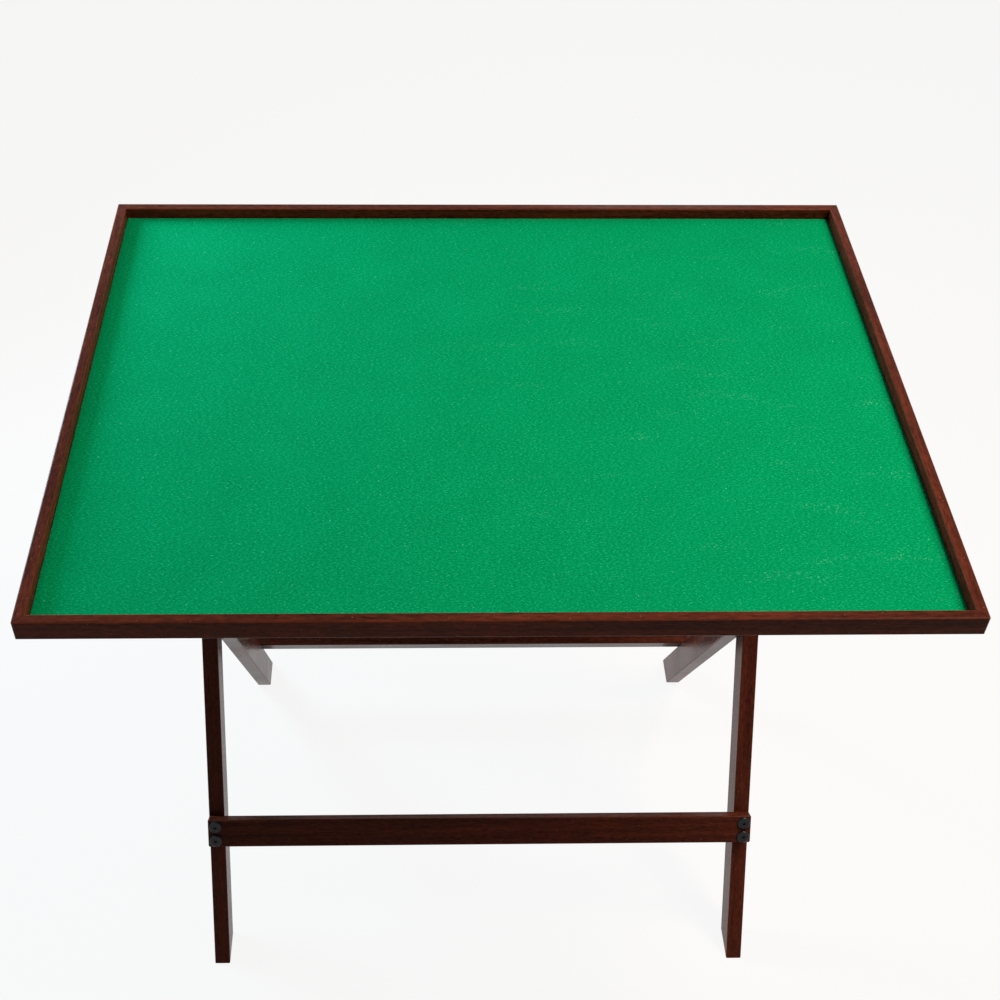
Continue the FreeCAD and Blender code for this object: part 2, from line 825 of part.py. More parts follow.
nodes = [make_base_board(), make_felt_surface()] + make_rim()
for side_name, sign in (("left", "-"), ("right", "")):
    nodes.append(make_hinge_block(side_name, sign))
    nodes.append(make_saddle_block(side_name, sign))
    nodes.append(make_outer_leg(side_name, sign))
    nodes.append(make_inner_leg(side_name, sign))
nodes.append(
    make_stretcher("stretcher_front", "outer_face", "outer_mid", "front_below", lean_back, True)
)
nodes.append(
    make_stretcher("stretcher_rear", "inner_face", "inner_mid", "rear_below", lean_forward, False)
)
nodes.append(make_crossbar())
nodes += make_hardware()

document.recompute()
for item in document.Objects:
    if "Invalid" in item.State or "Error" in item.State:
        raise RuntimeError(f"{item.Name} failed: {item.State}")
for node in nodes:
    if node.Shape.isNull() or not node.Shape.isValid():
        raise RuntimeError(f"{node.Label} has no valid shape")

os.makedirs("parts", exist_ok=True)
for node in nodes:
    node.Shape.exportStep(f"parts/{node.Label}.step")
    print(f"{node.Label}: {len(node.Shape.Solids)} solid(s), {node.Shape.Volume / 1000:.1f} cm3")
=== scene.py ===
import math

import bmesh
import bpy
from mathutils import Matrix, Vector, noise


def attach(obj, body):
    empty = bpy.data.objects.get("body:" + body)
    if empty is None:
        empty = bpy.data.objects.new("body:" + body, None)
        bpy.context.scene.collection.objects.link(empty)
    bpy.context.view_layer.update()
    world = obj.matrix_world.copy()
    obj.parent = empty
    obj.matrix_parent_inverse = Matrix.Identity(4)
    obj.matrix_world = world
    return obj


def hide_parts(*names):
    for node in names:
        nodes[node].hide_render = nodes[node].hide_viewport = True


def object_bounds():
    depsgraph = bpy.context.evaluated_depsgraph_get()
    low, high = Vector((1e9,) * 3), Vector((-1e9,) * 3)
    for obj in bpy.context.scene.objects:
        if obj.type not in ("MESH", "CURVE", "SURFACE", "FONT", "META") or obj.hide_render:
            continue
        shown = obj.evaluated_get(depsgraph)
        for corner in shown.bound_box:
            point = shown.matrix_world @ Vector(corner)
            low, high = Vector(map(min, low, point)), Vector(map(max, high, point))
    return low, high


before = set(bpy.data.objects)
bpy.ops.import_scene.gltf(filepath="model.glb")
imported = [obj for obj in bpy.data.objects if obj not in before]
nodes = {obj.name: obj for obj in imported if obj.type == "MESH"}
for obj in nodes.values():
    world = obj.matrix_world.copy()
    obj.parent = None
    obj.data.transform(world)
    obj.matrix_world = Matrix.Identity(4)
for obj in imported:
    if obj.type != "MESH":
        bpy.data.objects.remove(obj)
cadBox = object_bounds()
print("frame loaded:", len(nodes), "nodes")


viewpoint = {
    "place": (-0.0765, -1.1906, 1.697),
    "pitch": 45.56,  # degrees below the horizon
    "turn": 1.82,  # degrees to the right of straight ahead
    "roll": 1.07,  # degrees
    "frameSize": 1000,  # pixels on each side of the square frame
    "focalLength": 1452.5,  # pixels
    "opticalCentre": (450, 550),  # pixels from the top left corner
    "sensorWide": 36.0,  # millimetres
}


def makeCamera():
    side = viewpoint["frameSize"]
    data = bpy.data.cameras.new("camera")
    data.sensor_width = viewpoint["sensorWide"]
    data.lens = viewpoint["focalLength"] / side * viewpoint["sensorWide"]
    data.shift_x = 0.5 - viewpoint["opticalCentre"][0] / side
    data.shift_y = viewpoint["opticalCentre"][1] / side - 0.5
    camera = bpy.data.objects.new("camera", data)
    bpy.context.scene.collection.objects.link(camera)
    turn = Matrix.Rotation(-math.radians(viewpoint["turn"]), 4, "Z")
    tip = Matrix.Rotation(math.radians(90 - viewpoint["pitch"]), 4, "X")
    roll = Matrix.Rotation(math.radians(viewpoint["roll"]), 4, "Z")
    camera.matrix_world = Matrix.Translation(viewpoint["place"]) @ turn @ tip @ roll
    bpy.context.scene.camera = camera


makeCamera()
bpy.context.scene.view_settings.view_transform = "Standard"
print("camera placed")


def linear(hexColour):
    # sRGB hex to the linear colour that a socket takes
    parts = [int(hexColour[i:i + 2], 16) / 255 for i in (1, 3, 5)]
    return tuple(c / 12.92 if c <= 0.04045 else ((c + 0.055) / 1.055) ** 2.4 for c in parts) + (1,)


def addNode(tree, kind, inputs=None, **settings):
    # adds a node, sets its properties, and sets or links its sockets by name or number
    node = tree.nodes.new(kind)
    for name, value in settings.items():
        setattr(node, name, value)
    for name, value in (inputs or {}).items():
        if isinstance(value, bpy.types.NodeSocket):
            tree.links.new(value, node.inputs[name])
        else:
            node.inputs[name].default_value = value
    return node


def newMaterial(name):
    # an empty material: its tree and its output node
    material = bpy.data.materials.new(name)
    material.use_nodes = True
    material.node_tree.nodes.clear()
    output = addNode(material.node_tree, "ShaderNodeOutputMaterial")
    return material, material.node_tree, output


stain = {
    "deep": "#31130b",  # stain pooled in the dark growth
    "warm": "#6b3120",
    "pore": "#1a0a07",
    "thinStainAndHighlight": "#8d5640",  # lacquer and stain lie thin on the arrises, and a highlight along them is painted in too
    "speck": "#a07a68",  # dust under the lacquer
    "growthWide": 0.011,  # metres from one growth band to the next
    "fibreWide": 0.0013,
    "poreWide": 0.0011,  # real vessels are 0.2 mm wide, drawn coarser so that they show
    "fleckWide": 0.0024,  # uneven uptake of the stain, drawn coarser so that it shows
    "patchWide": 0.09,  # uneven patches of stain and lacquer
    "wearAndHighlightLong": 0.08,
    "speckApart": 0.009,
    "speckWide": 0.0004,
    "speckSoft": 1.5,  # a speck has faded out at this many times its size
    "jointWide": 0.0004,  # glue line of a mitre
    "stretch": 0.035,  # how slowly the figure changes along the grain
    "fleckStretch": 0.3,  # the flecks are shorter
    "fibreShare": 0.45,  # strength of the fibres and flecks, against 1 for the growth bands
    "fleckShare": 0.9,
    "toneRange": (0.87, 1.45),  # sum of the three at which the stain is all deep and all warm
    "patchRange": (0.3, 0.7),  # nearly all of a patch pattern's values lie in this range
    "patchTone": (0.8, 1.15),
    "poreRange": (0.6, 0.72),  # only the peaks of the pore pattern are pores
    "poreDark": 0.5,
    "endDark": 0.6,
    "jointDark": 0.8,
    "speckPale": 0.6,
    "endTurn": (0.8, 0.95),  # cosine to the grain from which a face is end grain
    "sideTurn": (0.2, 0.05),  # cosine to the grain below which a face runs along it
    "arrisTurn": (0.985, 0.85),  # cosine to the flat faces below which an arris is round
    "wearAndHighlightRange": (0.40, 0.62),  # the worn stain and the painted highlight come and go along an arris
    "wearAndHighlightLeast": 0.45,  # and never falls below this share
    "gloss": (0.21, 0.29),  # roughness of the satin lacquer
    "specular": 0.04,  # weak face on, so that the pale shine shows at a slant only
    "poreSink": 0.8,  # depth of a pore, against 1 for the fibres
    "relief": 0.12,
    "reliefHigh": 0.0006,
}


def addStainTone(tree, turned, along, fibre, patches):
    # growth bands, fibres and flecks of deep and warm stain, uneven from patch to patch
    growth = addNode(
        tree, "ShaderNodeTexNoise",
        {"Vector": along, "Scale": 1 / stain["growthWide"], "Detail": 5, "Roughness": 0.6,
         "Distortion": 0.6},
    )
    figure = addNode(
        tree, "ShaderNodeMath", {0: fibre, 1: stain["fibreShare"], 2: growth.outputs[0]},
        operation="MULTIPLY_ADD",
    )
    short = addNode(
        tree, "ShaderNodeMapping", {"Vector": turned, "Scale": (stain["fleckStretch"], 1, 1)}
    )
    fleck = addNode(
        tree, "ShaderNodeTexNoise",
        {"Vector": short.outputs[0], "Scale": 1 / stain["fleckWide"], "Detail": 3,
         "Roughness": 0.6},
    )
    mottled = addNode(
        tree, "ShaderNodeMath",
        {0: fleck.outputs[0], 1: stain["fleckShare"], 2: figure.outputs[0]},
        operation="MULTIPLY_ADD",
    )
    tone = addNode(
        tree, "ShaderNodeMapRange",
        {"Value": mottled.outputs[0], "From Min": stain["toneRange"][0],
         "From Max": stain["toneRange"][1]},
    )
    patchTone = addNode(
        tree, "ShaderNodeMapRange",
        {"Value": patches, "From Min": stain["patchRange"][0], "From Max": stain["patchRange"][1],
         "To Min": stain["patchTone"][0], "To Max": stain["patchTone"][1]},
    )
    depth = addNode(
        tree, "ShaderNodeMath", {0: tone.outputs[0], 1: patchTone.outputs[0]},
        operation="MULTIPLY", use_clamp=True,
    )
    ground = addNode(
        tree, "ShaderNodeMix",
        {0: depth.outputs[0], 6: linear(stain["deep"]), 7: linear(stain["warm"])},
        data_type="RGBA",
    )
    return ground.outputs[2]


def addPores(tree, colour, opening, alongGrain):
    # dark stain drawn into the pores and the end grain
    endGrain = addNode(
        tree, "ShaderNodeMapRange",
        {"Value": alongGrain, "From Min": stain["endTurn"][0], "From Max": stain["endTurn"][1]},
    )
    darkShare = addNode(
        tree, "ShaderNodeMath", {0: opening, 1: stain["poreDark"]}, operation="MULTIPLY"
    )
    endShare = addNode(
        tree, "ShaderNodeMath",
        {0: endGrain.outputs[0], 1: stain["endDark"], 2: darkShare.outputs[0]},
        operation="MULTIPLY_ADD", use_clamp=True,
    )
    stained = addNode(
        tree, "ShaderNodeMix", {0: endShare.outputs[0], 6: colour, 7: linear(stain["pore"])},
        data_type="RGBA",
    )
    return stained.outputs[2]


def addWornAndHighlitArrises(tree, colour, surface, side, arrisWearAndHighlight):
    # thin, broken stain and a painted highlight on the rounded arrises that run along the grain
    flat = addNode(
        tree, "ShaderNodeMath", {0: side.outputs["Y"], 1: side.outputs["Z"]}, operation="MAXIMUM"
    )
    rounded = addNode(
        tree, "ShaderNodeMapRange",
        {"Value": flat.outputs[0], "From Min": stain["arrisTurn"][0],
         "From Max": stain["arrisTurn"][1]},
    )
    lengthwise = addNode(
        tree, "ShaderNodeMapRange",
        {"Value": side.outputs["X"], "From Min": stain["sideTurn"][0],
         "From Max": stain["sideTurn"][1], "To Max": arrisWearAndHighlight},
    )
    wearAndHighlightNoise = addNode(
        tree, "ShaderNodeTexNoise",
        {"Vector": surface, "Scale": 1 / stain["wearAndHighlightLong"], "Detail": 5, "Roughness": 0.7},
    )
    wornAndHighlit = addNode(
        tree, "ShaderNodeMapRange",
        {"Value": wearAndHighlightNoise.outputs[0], "From Min": stain["wearAndHighlightRange"][0],
         "From Max": stain["wearAndHighlightRange"][1], "To Min": stain["wearAndHighlightLeast"]},
    )
    arris = addNode(
        tree, "ShaderNodeMath", {0: rounded.outputs[0], 1: lengthwise.outputs[0]},
        operation="MULTIPLY",
    )
    wearAndHighlightShare = addNode(
        tree, "ShaderNodeMath", {0: arris.outputs[0], 1: wornAndHighlit.outputs[0]}, operation="MULTIPLY"
    )
    # paler arrises: worn thin stain and a painted highlight along them
    eased = addNode(
        tree, "ShaderNodeMix", {0: wearAndHighlightShare.outputs[0], 6: colour, 7: linear(stain["thinStainAndHighlight"])},
        data_type="RGBA",
    )
    return eased.outputs[2]


def addDustSpecks(tree, colour, surface):
    # sparse pale specks caught in the lacquer
    dustCell = addNode(
        tree, "ShaderNodeTexVoronoi", {"Vector": surface, "Scale": 1 / stain["speckApart"]}
    )
    reach = stain["speckWide"] / stain["speckApart"]
    dust = addNode(
        tree, "ShaderNodeMapRange",
        {"Value": dustCell.outputs["Distance"], "From Min": reach * stain["speckSoft"],
         "From Max": reach, "To Max": stain["speckPale"]},
    )
    dusted = addNode(
        tree, "ShaderNodeMix", {0: dust.outputs[0], 6: colour, 7: linear(stain["speck"])},
        data_type="RGBA",
    )
    return dusted.outputs[2]


def addMitreLines(tree, colour, surface, mitreAt):
    # a fine dark glue line at each corner of the rim, where width less depth is mitreAt
    spot = addNode(tree, "ShaderNodeVectorMath", {0: surface}, operation="ABSOLUTE")
    parts = addNode(tree, "ShaderNodeSeparateXYZ", {0: spot.outputs[0]})
    skew = addNode(
        tree, "ShaderNodeMath", {0: parts.outputs["X"], 1: parts.outputs["Y"]},
        operation="SUBTRACT",
    )
    fromJoint = addNode(
        tree, "ShaderNodeMath", {0: skew.outputs[0], 1: mitreAt, 2: stain["jointWide"]},
        operation="COMPARE",
    )
    jointShare = addNode(
        tree, "ShaderNodeMath", {0: fromJoint.outputs[0], 1: stain["jointDark"]},
        operation="MULTIPLY",
    )
    lined = addNode(
        tree, "ShaderNodeMix", {0: jointShare.outputs[0], 6: colour, 7: linear(stain["pore"])},
        data_type="RGBA",
    )
    return lined.outputs[2]


def stainedMahogany(name, grainTurn, mitreAt=None, arrisWearAndHighlight=0.2):
    # Solid mahogany-coloured hardwood, dark stain under sprayed satin lacquer: deep red-brown
    # with fine grain, lighter on the arrises where the stain is thin and a highlight is painted,
    # darker on end grain, pale at grazing angles. grainTurn brings the grain onto X.
    material, tree, output = newMaterial(name)
    place = addNode(tree, "ShaderNodeTexCoord")
    surface = place.outputs["Object"]
    turned = addNode(tree, "ShaderNodeMapping", {"Vector": surface, "Rotation": grainTurn})
    along = addNode(
        tree, "ShaderNodeMapping",
        {"Vector": turned.outputs[0], "Scale": (stain["stretch"], 1, 1)},
    )
    facing = addNode(
        tree, "ShaderNodeMapping", {"Vector": place.outputs["Normal"], "Rotation": grainTurn},
        vector_type="NORMAL",
    )
    facingSize = addNode(
        tree, "ShaderNodeVectorMath", {0: facing.outputs[0]}, operation="ABSOLUTE"
    )
    side = addNode(tree, "ShaderNodeSeparateXYZ", {0: facingSize.outputs[0]})
    fibre = addNode(
        tree, "ShaderNodeTexNoise",
        {"Vector": along.outputs[0], "Scale": 1 / stain["fibreWide"], "Detail": 3,
         "Roughness": 0.6},
    )
    pore = addNode(
        tree, "ShaderNodeTexNoise",
        {"Vector": along.outputs[0], "Scale": 1 / stain["poreWide"], "Detail": 1},
    )
    opening = addNode(
        tree, "ShaderNodeMapRange",
        {"Value": pore.outputs[0], "From Min": stain["poreRange"][0],
         "From Max": stain["poreRange"][1]},
    )
    patches = addNode(
        tree, "ShaderNodeTexNoise",
        {"Vector": surface, "Scale": 1 / stain["patchWide"], "Detail": 2},
    )
    colour = addStainTone(
        tree, turned.outputs[0], along.outputs[0], fibre.outputs[0], patches.outputs[0]
    )
    colour = addPores(tree, colour, opening.outputs[0], side.outputs["X"])
    colour = addWornAndHighlitArrises(tree, colour, surface, side, arrisWearAndHighlight)
    colour = addDustSpecks(tree, colour, surface)
    if mitreAt is not None:
        colour = addMitreLines(tree, colour, surface, mitreAt)
    gloss = addNode(
        tree, "ShaderNodeMapRange",
        {"Value": patches.outputs[0], "From Min": stain["patchRange"][0],
         "From Max": stain["patchRange"][1], "To Min": stain["gloss"][0],
         "To Max": stain["gloss"][1]},
    )
    relief = addNode(
        tree, "ShaderNodeMath", {0: opening.outputs[0], 1: -stain["poreSink"], 2: fibre.outputs[0]},
        operation="MULTIPLY_ADD",
    )
    bump = addNode(
        tree, "ShaderNodeBump",
        {"Height": relief.outputs[0], "Strength": stain["relief"],
         "Distance": stain["reliefHigh"]},
    )
    shader = addNode(
        tree, "ShaderNodeBsdfPrincipled",
        {"Base Color": colour, "Roughness": gloss.outputs[0], "Normal": bump.outputs[0],
         "Specular IOR Level": stain["specular"]},
    )
    tree.links.new(shader.outputs[0], output.inputs[0])
    return material


feltLook = {
    "green": "#00ad70",
    "paintedHollowShade": "#00814c",  # painted shade in the hollows between the raised tufts
    "paintedTuftHighlight": "#3fcf93",  # painted highlight on the raised tufts, where loose fibre ends stand up
    "lint": "#8fe6bd",
    "sheen": "#00d088",
    "tuft": 0.0015,  # metres; single fibres are 0.02 mm, drawn coarser so that the nap shows
    "nap": 25,  # degrees from X to the way the nap was brushed
    "napStretch": 0.55,  # how slowly the nap changes along the way it was brushed
    "cloud": 0.06,  # size of the slow changes of tone
    "cloudShare": 0.10,  # strength of those, against 1 for the tufts
    "toneRange": (0.37, 0.73),  # sum of the two at which the green is all painted shade and all plain green
    "tuftHighlightRange": (0.57, 0.75),
    "tuftHighlightShow": 0.7,
    "lintApart": 0.012,
    "lintWide": 0.0006,
    "lintSoft": 0.5,  # a speck is whole within this share of its size
    "lintShow": 0.7,
    "streakWide": 0.011,  # half the distance from one rubbed streak to the next
    "streakTurn": 7,  # degrees from X
    "streakStretch": 0.22,
    "streakRange": (0.60, 0.80),
    "streakShow": 0.5,
    "streakAcross": (-0.10, 0.12),  # metres on X over which the streaks come in
    "crumb": 0.0030,  # spacing of the crumbs of dust in a rubbed streak
    "crumbRange": (0.32, 0.12),  # in spacings: where a crumb ends, and within which it is whole
    "roughness": 0.95,
    "specular": 0.02,
    "sheenWeight": 0.03,
    "sheenRoughness": 0.5,
    "relief": 0.4,
    "reliefHigh": 0.0007,
}


def addFeltToneAndTuftLight(tree, place, tuft):
    # green mottled by slow clouds, with painted shade between the nap's tufts and a painted
    # highlight on their raised fibre ends
    cloud = addNode(
        tree, "ShaderNodeTexNoise", {"Vector": place, "Scale": 1 / feltLook["cloud"], "Detail": 3}
    )
    share = addNode(
        tree, "ShaderNodeMath", {0: cloud.outputs[0], 1: feltLook["cloudShare"], 2: tuft},
        operation="MULTIPLY_ADD",
    )
    tone = addNode(
        tree, "ShaderNodeMapRange",
        {"Value": share.outputs[0], "From Min": feltLook["toneRange"][0],
         "From Max": feltLook["toneRange"][1]},
    )
    # painted shade in the hollows between the tufts, mixed with the slow random tone
    green = addNode(
        tree, "ShaderNodeMix",
        {0: tone.outputs[0], 6: linear(feltLook["paintedHollowShade"]), 7: linear(feltLook["green"])},
        data_type="RGBA",
    )
    # painted highlight on the raised tufts
    tuftHighlightShare = addNode(
        tree, "ShaderNodeMapRange",
        {"Value": tuft, "From Min": feltLook["tuftHighlightRange"][0],
         "From Max": feltLook["tuftHighlightRange"][1], "To Max": feltLook["tuftHighlightShow"]},
    )
    greenWithPaintedTuftLight = addNode(
        tree, "ShaderNodeMix",
        {0: tuftHighlightShare.outputs[0], 6: green.outputs[2], 7: linear(feltLook["paintedTuftHighlight"])},
        data_type="RGBA",
    )
    return greenWithPaintedTuftLight.outputs[2]


def addLint(tree, place):
    # share of a speck of lint
    lintCell = addNode(
        tree, "ShaderNodeTexVoronoi", {"Vector": place, "Scale": 1 / feltLook["lintApart"]}
    )
    reach = feltLook["lintWide"] / feltLook["lintApart"]
    speck = addNode(
        tree, "ShaderNodeMapRange",
        {"Value": lintCell.outputs["Distance"], "From Min": reach,
         "From Max": reach * feltLook["lintSoft"]},
    )
    return speck.outputs[0]


def addRubbedDust(tree, place):
    # share of the crumbs of dust in the rubbed streaks, on the right half
    dragged = addNode(
        tree, "ShaderNodeMapping",
        {"Vector": place, "Rotation": (0, 0, -math.radians(feltLook["streakTurn"])),
         "Scale": (feltLook["streakStretch"], 1, 1)},
    )
    streak = addNode(
        tree, "ShaderNodeTexNoise",
        {"Vector": dragged.outputs[0], "Scale": 1 / feltLook["streakWide"] / 2, "Detail": 2},
    )
    rubbed = addNode(
        tree, "ShaderNodeMapRange",
        {"Value": streak.outputs[0], "From Min": feltLook["streakRange"][0],
         "From Max": feltLook["streakRange"][1], "To Max": feltLook["streakShow"]},
    )
    across = addNode(tree, "ShaderNodeSeparateXYZ", {0: place})
    rightHalf = addNode(
        tree, "ShaderNodeMapRange",
        {"Value": across.outputs["X"], "From Min": feltLook["streakAcross"][0],
         "From Max": feltLook["streakAcross"][1]},
    )
    dusty = addNode(
        tree, "ShaderNodeMath", {0: rubbed.outputs[0], 1: rightHalf.outputs[0]},
        operation="MULTIPLY",
    )
    crumb = addNode(
        tree, "ShaderNodeTexVoronoi", {"Vector": place, "Scale": 1 / feltLook["crumb"]}
    )
    crumbs = addNode(
        tree, "ShaderNodeMapRange",
        {"Value": crumb.outputs["Distance"], "From Min": feltLook["crumbRange"][0],
         "From Max": feltLook["crumbRange"][1]},
    )
    dust = addNode(
        tree, "ShaderNodeMath", {0: dusty.outputs[0], 1: crumbs.outputs[0]}, operation="MULTIPLY"
    )
    return dust.outputs[0]


def pressedFelt(name):
    # Pressed craft felt: saturated green with no shine, a brushed nap whose tufts get painted shade
    # and highlight, specks of lint, and dusty streaks on the right where pieces have been pushed
    # over it.
    material, tree, output = newMaterial(name)
    place = addNode(tree, "ShaderNodeTexCoord").outputs["Object"]
    brushed = addNode(
        tree, "ShaderNodeMapping",
        {"Vector": place, "Rotation": (0, 0, -math.radians(feltLook["nap"])),
         "Scale": (feltLook["napStretch"], 1, 1)},
    )
    tuft = addNode(
        tree, "ShaderNodeTexNoise",
        {"Vector": brushed.outputs[0], "Scale": 1 / feltLook["tuft"], "Detail": 4,
         "Roughness": 0.65},
    )
    greenWithPaintedTuftLight = addFeltToneAndTuftLight(tree, place, tuft.outputs[0])
    pale = addNode(
        tree, "ShaderNodeMath",
        {0: addLint(tree, place), 1: feltLook["lintShow"], 2: addRubbedDust(tree, place)},
        operation="MULTIPLY_ADD", use_clamp=True,
    )
    colour = addNode(
        tree, "ShaderNodeMix", {0: pale.outputs[0], 6: greenWithPaintedTuftLight, 7: linear(feltLook["lint"])},
        data_type="RGBA",
    )
    bump = addNode(
        tree, "ShaderNodeBump",
        {"Height": tuft.outputs[0], "Strength": feltLook["relief"],
         "Distance": feltLook["reliefHigh"]},
    )
    shader = addNode(
        tree, "ShaderNodeBsdfPrincipled",
        {"Base Color": colour.outputs[2], "Roughness": feltLook["roughness"],
         "Normal": bump.outputs[0], "Specular IOR Level": feltLook["specular"],
         "Sheen Weight": feltLook["sheenWeight"], "Sheen Roughness": feltLook["sheenRoughness"],
         "Sheen Tint": linear(feltLook["sheen"])},
    )
    tree.links.new(shader.outputs[0], output.inputs[0])
    return material


plainLooks = {
    # hot-pressed wood fibre: an even, matt brown
    "hardboardUnderside": {"colour": "#4a2c1a", "roughness": 0.7, "metallic": 0.0},
    # blackened and oiled steel: near black with a soft shine
    "blackOxideSteel": {"colour": "#16161a", "roughness": 0.38, "metallic": 0.6},
    # zinc plating on steel: pale, bright and slightly uneven
    "brightZincSteel": {"colour": "#b9bcbf", "roughness": 0.3, "metallic": 1.0},
    # moulded washers: dull black
    "blackNylon": {"colour": "#141414", "roughness": 0.5, "metallic": 0.0},
}
plainMottle = {
    "wide": 0.0008,  # metres
    "share": 0.15,  # how far it moves the colour and the gloss, each way
    "relief": 0.1,
}


def plainFinish(name):
    # one-colour finish with a fine mottle in colour, gloss and relief
    look = plainLooks[name]
    material, tree, output = newMaterial(name)
    place = addNode(tree, "ShaderNodeTexCoord")
    mottle = addNode(
        tree, "ShaderNodeTexNoise",
        {"Vector": place.outputs["Object"], "Scale": 1 / plainMottle["wide"], "Detail": 3},
    )
    tone = addNode(
        tree, "ShaderNodeMapRange",
        {"Value": mottle.outputs[0], "To Min": 1 - plainMottle["share"],
         "To Max": 1 + plainMottle["share"]},
    )
    colour = addNode(
        tree, "ShaderNodeMix", {0: 1.0, 6: linear(look["colour"]), 7: tone.outputs[0]},
        data_type="RGBA", blend_type="MULTIPLY",
    )
    gloss = addNode(
        tree, "ShaderNodeMath", {0: tone.outputs[0], 1: look["roughness"]}, operation="MULTIPLY"
    )
    bump = addNode(
        tree, "ShaderNodeBump",
        {"Height": mottle.outputs[0], "Strength": plainMottle["relief"],
         "Distance": plainMottle["wide"] / 2},
    )
    shader = addNode(
        tree, "ShaderNodeBsdfPrincipled",
        {"Base Color": colour.outputs[2], "Roughness": gloss.outputs[0],
         "Normal": bump.outputs[0], "Metallic": look["metallic"]},
    )
    tree.links.new(shader.outputs[0], output.inputs[0])
    return material


legLean = math.radians(31.5)  # from the upright
quarterTurn = math.radians(90)
halfWidth, halfDepth = cadBox[1][:2]
mitreAt = halfWidth - halfDepth
railAlongWidth = stainedMahogany("stainedMahoganyRailAlongWidth", (0, 0, 0), mitreAt)
railAlongDepth = stainedMahogany("stainedMahoganyRailAlongDepth", (0, 0, -quarterTurn), mitreAt)
woodFrontStretcher = stainedMahogany("stainedMahoganyFrontStretcher", (legLean, 0, 0))
woodRearStretcher = stainedMahogany("stainedMahoganyRearStretcher", (-legLean, 0, 0))
woodCrossbar = stainedMahogany("stainedMahoganyCrossbar", (0, 0, 0), arrisWearAndHighlight=0.0)
woodBlocks = stainedMahogany("stainedMahoganyBlocks", (0, 0, -quarterTurn), arrisWearAndHighlight=0.0)
woodOuterLegs = stainedMahogany("stainedMahoganyOuterLegs", (legLean, quarterTurn, 0))
woodInnerLegs = stainedMahogany("stainedMahoganyInnerLegs", (-legLean, quarterTurn, 0))
greenFelt = pressedFelt("pressedGreenFelt")
hardboard = plainFinish("hardboardUnderside")
blackOxide = plainFinish("blackOxideSteel")
brightZinc = plainFinish("brightZincSteel")
blackNylon = plainFinish("blackNylon")

finishes = {
    railAlongWidth: ["rail_front", "rail_back"],
    railAlongDepth: ["rail_left", "rail_right"],
    woodFrontStretcher: ["stretcher_front"],
    woodRearStretcher: ["stretcher_rear"],
    woodCrossbar: ["crossbar"],
    woodBlocks: [
        "hinge_block_left", "hinge_block_right", "saddle_block_left", "saddle_block_right",
    ],
    woodOuterLegs: ["leg_outer_left", "leg_outer_right"],
    woodInnerLegs: ["leg_inner_left", "leg_inner_right"],
    hardboard: ["base_board"],
    blackOxide: ["stretcher_bolts_front", "stretcher_bolts_rear", "hinge_bolts", "pivot_bolts"],
    brightZinc: [
        "inserts_outer", "inserts_inner", "pivot_nuts", "block_screws", "crossbar_screws",
    ],
    blackNylon: ["spacer_washers"],
}
for material, names in finishes.items():
    for name in names:
        nodes[name].data.materials.clear()
        nodes[name].data.materials.append(material)
print("finishes given")


def boxOf(name):
    # lowest and highest corner of a node
    corners = [vertex.co for vertex in nodes[name].data.vertices]
    low = Vector(min(c[i] for c in corners) for i in range(3))
    high = Vector(max(c[i] for c in corners) for i in range(3))
    return low, high


feltCloth = {
    "cell": 0.0085,  # metres between the points of the cloth
    "dip": 0.00015,  # how far the glued cloth dips at most where the board is uneven
    "dipWide": 0.11,
    "ease": 0.0004,  # soft round of the cut edge
    "easeSteps": 2,
}


def makeFelt():
    # one cut rectangle of felt, glued flat on the board inside the rim
    low, high = boxOf("felt_surface")
    size = high - low
    columns = round(size.x / feltCloth["cell"])
    rows = round(size.y / feltCloth["cell"])
    bm = bmesh.new()
    bmesh.ops.create_grid(bm, x_segments=columns, y_segments=rows, size=0.5)
    bmesh.ops.scale(bm, verts=bm.verts, vec=(size.x, size.y, 1))
    middle = (low + high) / 2
    bmesh.ops.translate(bm, verts=bm.verts, vec=(middle.x, middle.y, high.z))
    for vertex in bm.verts:
        wave = noise.noise(vertex.co / feltCloth["dipWide"])
        vertex.co.z -= feltCloth["dip"] * (0.5 + 0.5 * wave)
    mesh = bpy.data.meshes.new("felt_cloth")
    bm.to_mesh(mesh)
    bm.free()
    felt = bpy.data.objects.new("felt_cloth", mesh)
    bpy.context.scene.collection.objects.link(felt)
    for polygon in mesh.polygons:
        polygon.use_smooth = True
    thickness = felt.modifiers.new("thickness", "SOLIDIFY")
    thickness.thickness = size.z - feltCloth["dip"]
    thickness.offset = -1  # downwards from the face
    eased = felt.modifiers.new("easedEdge", "BEVEL")
    eased.width = feltCloth["ease"]
    eased.segments = feltCloth["easeSteps"]
    eased.limit_method = "ANGLE"
    mesh.materials.append(greenFelt)
    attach(felt, "tabletop")
    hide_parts("felt_surface")
    print("felt laid:", columns, "by", rows, "cells")


makeFelt()


studio = {
    "background": "#ffffff",  # at a strength of 1
    "floorSide": 60.0,
    "floorDrop": 0.0003,  # below the feet, so that the two never share a plane
    "floorColour": "#f0e8dc",
    "floorGlow": 0.90,  # share of the floor's brightness that no shadow reaches
    "worldFront": (0.12, 0.115, 0.10),  # the room's light: dim towards the front
    "worldBack": (0.85, 0.82, 0.75),  # paler walls behind and at the sides
    "worldHigh": (0.05, 0.05, 0.05),
    "wallTop": (0.15, 0.45),  # sine of the angle above the horizon over which the walls end
    "wallFront": (-0.5, 0.3),  # Y of the direction over which dim turns to pale
}


def addBackdropRays(tree):
    # 1 for the rays that show the white background: seen directly, in a gloss and through glass
    ray = addNode(tree, "ShaderNodeLightPath")
    shone = addNode(
        tree, "ShaderNodeMath",
        {0: ray.outputs["Is Glossy Ray"], 1: ray.outputs["Is Transmission Ray"]},
        operation="MAXIMUM",
    )
    either = addNode(
        tree, "ShaderNodeMath", {0: ray.outputs["Is Camera Ray"], 1: shone.outputs[0]},
        operation="MAXIMUM",
    )
    return either.outputs[0]


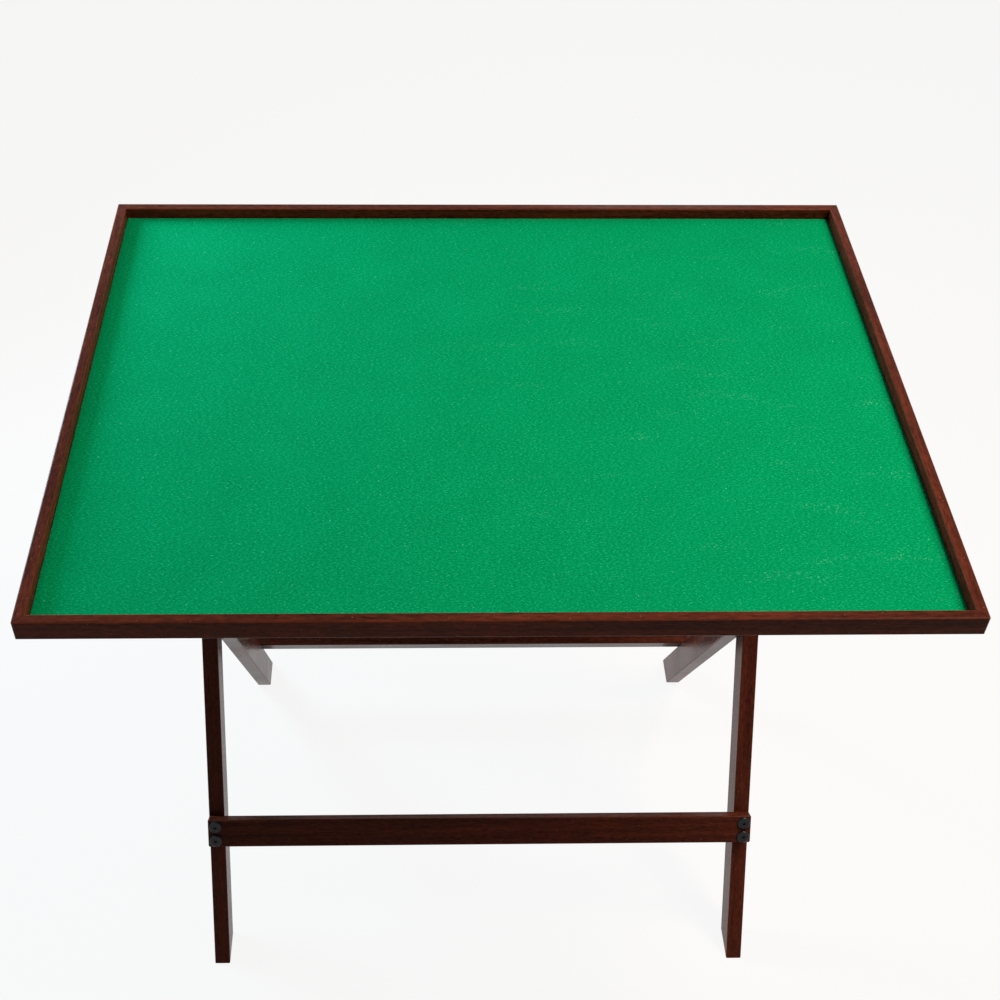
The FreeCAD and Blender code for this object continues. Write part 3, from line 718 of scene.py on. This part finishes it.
def makeFloor():
    # a matt pale floor, mostly lit from within for the rays that show the background
    bm = bmesh.new()
    bmesh.ops.create_grid(bm, x_segments=1, y_segments=1, size=studio["floorSide"] / 2)
    bmesh.ops.translate(bm, verts=bm.verts, vec=(0, 0, -studio["floorDrop"]))
    mesh = bpy.data.meshes.new("floor")
    bm.to_mesh(mesh)
    bm.free()
    floor = bpy.data.objects.new("floor", mesh)
    bpy.context.scene.collection.objects.link(floor)
    material, tree, output = newMaterial("paleStudioFloor")
    share = addNode(
        tree, "ShaderNodeMath", {0: addBackdropRays(tree), 1: studio["floorGlow"]},
        operation="MULTIPLY",
    )
    matte = addNode(tree, "ShaderNodeBsdfDiffuse", {"Color": linear(studio["floorColour"])})
    white = addNode(
        tree, "ShaderNodeEmission", {"Color": linear(studio["background"]), "Strength": 1.0}
    )
    mixed = addNode(
        tree, "ShaderNodeMixShader",
        {0: share.outputs[0], 1: matte.outputs[0], 2: white.outputs[0]},
    )
    tree.links.new(mixed.outputs[0], output.inputs[0])
    mesh.materials.append(material)


def makeWorld():
    # white where the background shows, and the light of a plain room for everything else
    world = bpy.data.worlds.new("studio")
    bpy.context.scene.world = world
    world.use_nodes = True
    tree = world.node_tree
    tree.nodes.clear()
    output = addNode(tree, "ShaderNodeOutputWorld")
    direction = addNode(tree, "ShaderNodeTexCoord")
    parts = addNode(tree, "ShaderNodeSeparateXYZ", {0: direction.outputs["Generated"]})
    aboveWalls = addNode(
        tree, "ShaderNodeMapRange",
        {"Value": parts.outputs["Z"], "From Min": studio["wallTop"][0],
         "From Max": studio["wallTop"][1]},
        interpolation_type="SMOOTHSTEP",
    )
    behind = addNode(
        tree, "ShaderNodeMapRange",
        {"Value": parts.outputs["Y"], "From Min": studio["wallFront"][0],
         "From Max": studio["wallFront"][1]},
        interpolation_type="SMOOTHSTEP",
    )
    walls = addNode(
        tree, "ShaderNodeMix",
        {0: behind.outputs[0], 6: studio["worldFront"] + (1,), 7: studio["worldBack"] + (1,)},
        data_type="RGBA",
    )
    room = addNode(
        tree, "ShaderNodeMix",
        {0: aboveWalls.outputs[0], 6: walls.outputs[2], 7: studio["worldHigh"] + (1,)},
        data_type="RGBA",
    )
    seen = addNode(
        tree, "ShaderNodeMix",
        {0: addBackdropRays(tree), 6: room.outputs[2], 7: linear(studio["background"])},
        data_type="RGBA",
    )
    light = addNode(tree, "ShaderNodeBackground", {"Color": seen.outputs[2], "Strength": 1.0})
    tree.links.new(light.outputs[0], output.inputs[0])


topMiddle = (0, 0, 0.72)
coolLight = (0.5, 0.75, 1.0)
warmLight = (1.0, 0.84, 0.68)
lamps = {  # square lamps: places and sides in metres, power in watts
    "sideLamp": {
        "place": (-1.05, 0.58, 1.0), "aim": topMiddle, "side": 0.4,
        "power": 17.5, "colour": coolLight,
    },
    "rightLamp": {
        "place": (1.35, -0.4, 2.1), "aim": topMiddle, "side": 0.7,
        "power": 18.5, "colour": warmLight,
    },
    "topLamp": {
        "place": (0.95, 0.05, 2.38), "aim": topMiddle, "side": 0.35,
        "power": 21, "colour": warmLight,
    },
    "backLamp": {
        "place": (0.55, 2.2, 1.9), "aim": (0.2, 0.3, 0.73), "side": 0.4,
        "power": 2.7, "colour": (1.0, 0.96, 0.90),
    },
}


def addLamp(name, place, aim, side, power, colour):
    data = bpy.data.lights.new(name, "AREA")
    data.shape = "RECTANGLE"
    data.size = side
    data.size_y = side
    data.energy = power
    data.color = colour
    lamp = bpy.data.objects.new(name, data)
    bpy.context.scene.collection.objects.link(lamp)
    lamp.location = place
    lamp.rotation_mode = "QUATERNION"
    lamp.rotation_quaternion = (Vector(aim) - Vector(place)).to_track_quat("-Z", "Y")


makeFloor()
makeWorld()
for name, lamp in lamps.items():
    addLamp(name, **lamp)
print("studio lit")
